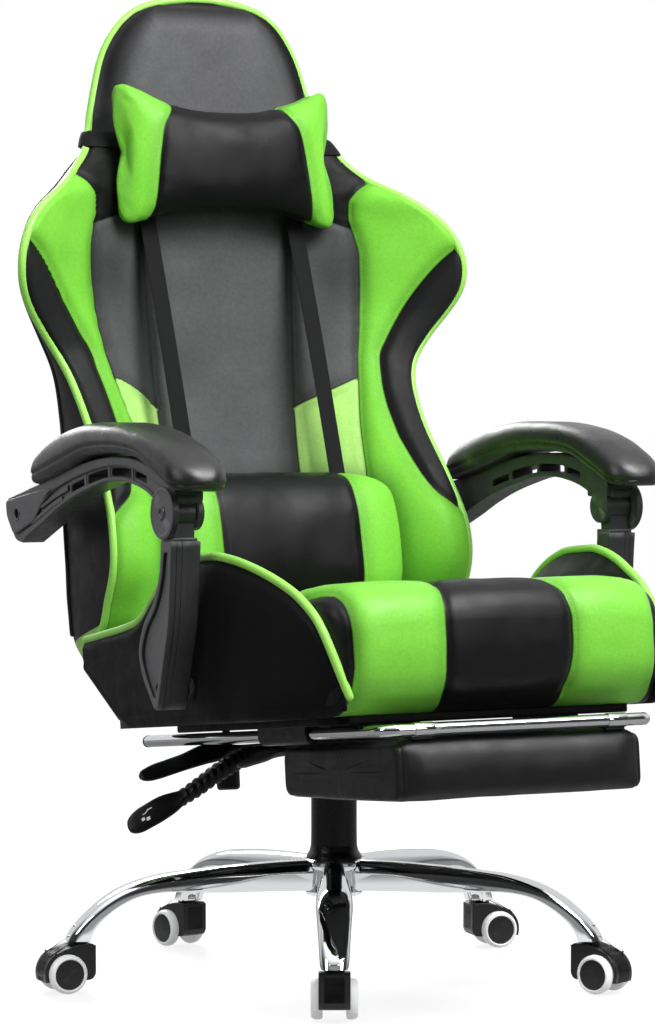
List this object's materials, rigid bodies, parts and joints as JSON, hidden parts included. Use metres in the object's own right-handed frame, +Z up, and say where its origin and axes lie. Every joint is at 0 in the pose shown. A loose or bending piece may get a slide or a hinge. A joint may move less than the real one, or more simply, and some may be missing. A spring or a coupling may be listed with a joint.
{
  "type": "gaming chair",
  "caption": "Racing-style gaming chair in black and green leather with head and lumbar pillows, linked armrests, pull-out footrest and a chrome star base on casters.",
  "frame": {"origin": "floor level, at the middle of the chair's outer box", "axes": "+Z up, the chair faces -Y, +X is the sitter's left"},
  "size_m": [0.7341, 0.8721, 1.274],
  "materials": {
    "chrome": "polished",
    "steel_bolts": "satin",
    "black_steel": "satin",
    "black_plastic": "satin",
    "grey_plastic": "satin",
    "black_leather": "satin",
    "green_leather": "satin",
    "wheel_tread": "satin",
    "webbing": "matte"
  },
  "bodies": {
    "base": {"star_base": "chrome", "gas_outer_tube": "black_steel", "lower_cover": "black_plastic", "caster_stem_1": "steel_bolts", "caster_stem_2": "steel_bolts", "caster_stem_3": "steel_bolts", "caster_stem_4": "steel_bolts", "caster_stem_5": "steel_bolts"},
    "lift": {"upper_cover": "black_plastic"},
    "mechanism": {"piston_rod": "chrome", "mech_socket": "black_steel"},
    "seat": {"rock_pin": "chrome", "mech_plate": "black_steel", "seat_frame": "black_steel", "seat_cushion": "black_leather", "seat_wing_left": "black_leather", "seat_wing_right": "black_leather", "rail_sleeve_left": "black_plastic", "rail_sleeve_right": "black_plastic", "arm_leg_bolt_left": "steel_bolts", "arm_leg_bolt_right": "steel_bolts"},
    "height_handle": {"height_lever": "black_plastic"},
    "recline_handle": {"recline_lever": "black_plastic"},
    "rock_lock_handle": {"rock_lock_lever": "grey_plastic"},
    "knob": {"tension_knob": "black_plastic"},
    "back": {"back_pad": "black_leather", "back_bracket_left": "black_steel", "back_bracket_right": "black_steel", "recline_shaft": "chrome", "head_pillow": "green_leather", "head_band": "webbing", "lumbar_pillow": "black_leather", "lumbar_strap_left": "webbing", "lumbar_strap_right": "webbing"},
    "footrest_frame": {"footrest_rail_left": "chrome", "footrest_rail_right": "chrome", "footrest_front_tube": "chrome"},
    "footrest": {"footrest_plate": "black_steel", "footrest_pad": "black_leather"},
    "arm_leg_l": {"arm_leg_left": "grey_plastic"},
    "arm_leg_r": {"arm_leg_right": "grey_plastic"},
    "arm_l": {"arm_bracket_left": "grey_plastic", "arm_pad_left": "black_leather"},
    "arm_r": {"arm_bracket_right": "grey_plastic", "arm_pad_right": "black_leather"},
    "caster_1": {"caster_hood_1": "black_plastic"},
    "wheel_1a": {"caster_wheel_1a": "wheel_tread"},
    "wheel_1b": {"caster_wheel_1b": "wheel_tread"},
    "caster_2": {"caster_hood_2": "black_plastic"},
    "wheel_2a": {"caster_wheel_2a": "wheel_tread"},
    "wheel_2b": {"caster_wheel_2b": "wheel_tread"},
    "caster_3": {"caster_hood_3": "black_plastic"},
    "wheel_3a": {"caster_wheel_3a": "wheel_tread"},
    "wheel_3b": {"caster_wheel_3b": "wheel_tread"},
    "caster_4": {"caster_hood_4": "black_plastic"},
    "wheel_4a": {"caster_wheel_4a": "wheel_tread"},
    "wheel_4b": {"caster_wheel_4b": "wheel_tread"},
    "caster_5": {"caster_hood_5": "black_plastic"},
    "wheel_5a": {"caster_wheel_5a": "wheel_tread"},
    "wheel_5b": {"caster_wheel_5b": "wheel_tread"}
  },
  "joints": [
    {"name": "caster_swivel_1", "type": "hinge", "parent": "base", "child": "caster_1", "pos_m": [-0.1475, -0.26804, 0.06], "axis": [0, 0, 1], "continuous": true},
    {"name": "wheel_roll_1a", "type": "hinge", "parent": "caster_1", "child": "wheel_1a", "pos_m": [-0.13792, -0.25048, 0.0245], "axis": [0.878, -0.4787, 0], "continuous": true},
    {"name": "wheel_roll_1b", "type": "hinge", "parent": "caster_1", "child": "wheel_1b", "pos_m": [-0.13792, -0.25048, 0.0245], "axis": [0.878, -0.4787, 0], "continuous": true},
    {"name": "caster_swivel_2", "type": "hinge", "parent": "base", "child": "caster_2", "pos_m": [0.24302, -0.21716, 0.06], "axis": [0, 0, 1], "continuous": true},
    {"name": "wheel_roll_2a", "type": "hinge", "parent": "caster_2", "child": "wheel_2a", "pos_m": [0.25131, -0.23536, 0.0245], "axis": [-0.91, -0.4147, 0], "continuous": true},
    {"name": "wheel_roll_2b", "type": "hinge", "parent": "caster_2", "child": "wheel_2b", "pos_m": [0.25131, -0.23536, 0.0245], "axis": [-0.91, -0.4147, 0], "continuous": true},
    {"name": "caster_swivel_3", "type": "hinge", "parent": "base", "child": "caster_3", "pos_m": [0.31531, 0.16996, 0.06], "axis": [0, 0, 1], "continuous": true},
    {"name": "wheel_roll_3a", "type": "hinge", "parent": "caster_3", "child": "wheel_3a", "pos_m": [0.33497, 0.16628, 0.0245], "axis": [-0.184, -0.9829, 0], "continuous": true},
    {"name": "wheel_roll_3b", "type": "hinge", "parent": "caster_3", "child": "wheel_3b", "pos_m": [0.33497, 0.16628, 0.0245], "axis": [-0.184, -0.9829, 0], "continuous": true},
    {"name": "caster_swivel_4", "type": "hinge", "parent": "base", "child": "caster_4", "pos_m": [-0.03052, 0.35834, 0.06], "axis": [0, 0, 1], "continuous": true},
    {"name": "wheel_roll_4a", "type": "hinge", "parent": "caster_4", "child": "wheel_4a", "pos_m": [-0.03441, 0.37796, 0.0245], "axis": [0.981, 0.1942, 0], "continuous": true},
    {"name": "wheel_roll_4b", "type": "hinge", "parent": "caster_4", "child": "wheel_4b", "pos_m": [-0.03441, 0.37796, 0.0245], "axis": [0.981, 0.1942, 0], "continuous": true},
    {"name": "caster_swivel_5", "type": "hinge", "parent": "base", "child": "caster_5", "pos_m": [-0.31656, 0.08765, 0.06], "axis": [0, 0, 1], "continuous": true},
    {"name": "wheel_roll_5a", "type": "hinge", "parent": "caster_5", "child": "wheel_5a", "pos_m": [-0.3365, 0.08915, 0.0245], "axis": [0.075, 0.9972, 0], "continuous": true},
    {"name": "wheel_roll_5b", "type": "hinge", "parent": "caster_5", "child": "wheel_5b", "pos_m": [-0.3365, 0.08915, 0.0245], "axis": [0.075, 0.9972, 0], "continuous": true},
    {"name": "seat_height", "type": "slide", "parent": "base", "child": "lift", "axis": [0, 0, 1], "range_m": [0, 0.08]},
    {"name": "seat_swivel", "type": "hinge", "parent": "lift", "child": "mechanism", "pos_m": [0.01275, 0.02615, 0.25], "axis": [0, 0, 1], "continuous": true},
    {"name": "seat_rock", "type": "hinge", "parent": "mechanism", "child": "seat", "pos_m": [0.01275, -0.03385, 0.312], "axis": [-1, 0, 0], "range_deg": [0, 12], "stiffness_Nm_per_rad": 220, "springref_deg": -11.46},
    {"name": "height_lever_lift", "type": "hinge", "parent": "seat", "child": "height_handle", "pos_m": [-0.05375, 0.09215, 0.292], "axis": [0, 1, 0], "range_deg": [0, 5], "stiffness_Nm_per_rad": 0.6, "springref_deg": -5.73},
    {"name": "recline_lever_lift", "type": "hinge", "parent": "seat", "child": "recline_handle", "pos_m": [-0.05375, 0.05415, 0.2915], "axis": [0, 1, 0], "range_deg": [0, 8], "stiffness_Nm_per_rad": 0.8, "springref_deg": -8.59},
    {"name": "rock_lock_turn", "type": "hinge", "parent": "seat", "child": "rock_lock_handle", "pos_m": [-0.05375, 0.01815, 0.291], "axis": [0, 1, 0], "range_deg": [0, 10]},
    {"name": "tension_knob_turn", "type": "hinge", "parent": "seat", "child": "knob", "pos_m": [-0.08425, 0.13215, 0.257], "axis": [0, 0.0993, 0.9951], "continuous": true},
    {"name": "back_recline", "type": "hinge", "parent": "seat", "child": "back", "pos_m": [0.01275, 0.15115, 0.4], "axis": [-1, 0, 0], "range_deg": [0, 35]},
    {"name": "footrest_slide", "type": "slide", "parent": "seat", "child": "footrest_frame", "axis": [0, -0.9951, 0.0993], "range_m": [0, 0.25]},
    {"name": "footrest_flip", "type": "hinge", "parent": "footrest_frame", "child": "footrest", "pos_m": [0.01275, -0.42486, 0.35713], "axis": [-1, 0, 0], "range_deg": [0, 180]},
    {"name": "arm_leg_swing_l", "type": "hinge", "parent": "seat", "child": "arm_leg_l", "pos_m": [0.31875, -0.12485, 0.39], "axis": [-1, 0, 0], "range_deg": [0, 28]},
    {"name": "arm_swing_l", "type": "hinge", "parent": "arm_leg_l", "child": "arm_l", "pos_m": [0.31875, -0.15185, 0.6], "axis": [-1, 0, 0], "range_deg": [-15.5, 0]},
    {"name": "arm_leg_swing_r", "type": "hinge", "parent": "seat", "child": "arm_leg_r", "pos_m": [-0.29325, -0.12485, 0.39], "axis": [-1, 0, 0], "range_deg": [0, 28]},
    {"name": "arm_swing_r", "type": "hinge", "parent": "arm_leg_r", "child": "arm_r", "pos_m": [-0.29325, -0.15185, 0.6], "axis": [-1, 0, 0], "range_deg": [-15.5, 0]}
  ],
  "couplings": [
    {"joint": "arm_leg_swing_l", "follows": "back_recline", "ratio": 0.799},
    {"joint": "arm_swing_l", "follows": "back_recline", "ratio": -0.437},
    {"joint": "arm_leg_swing_r", "follows": "back_recline", "ratio": 0.799},
    {"joint": "arm_swing_r", "follows": "back_recline", "ratio": -0.437}
  ]
}
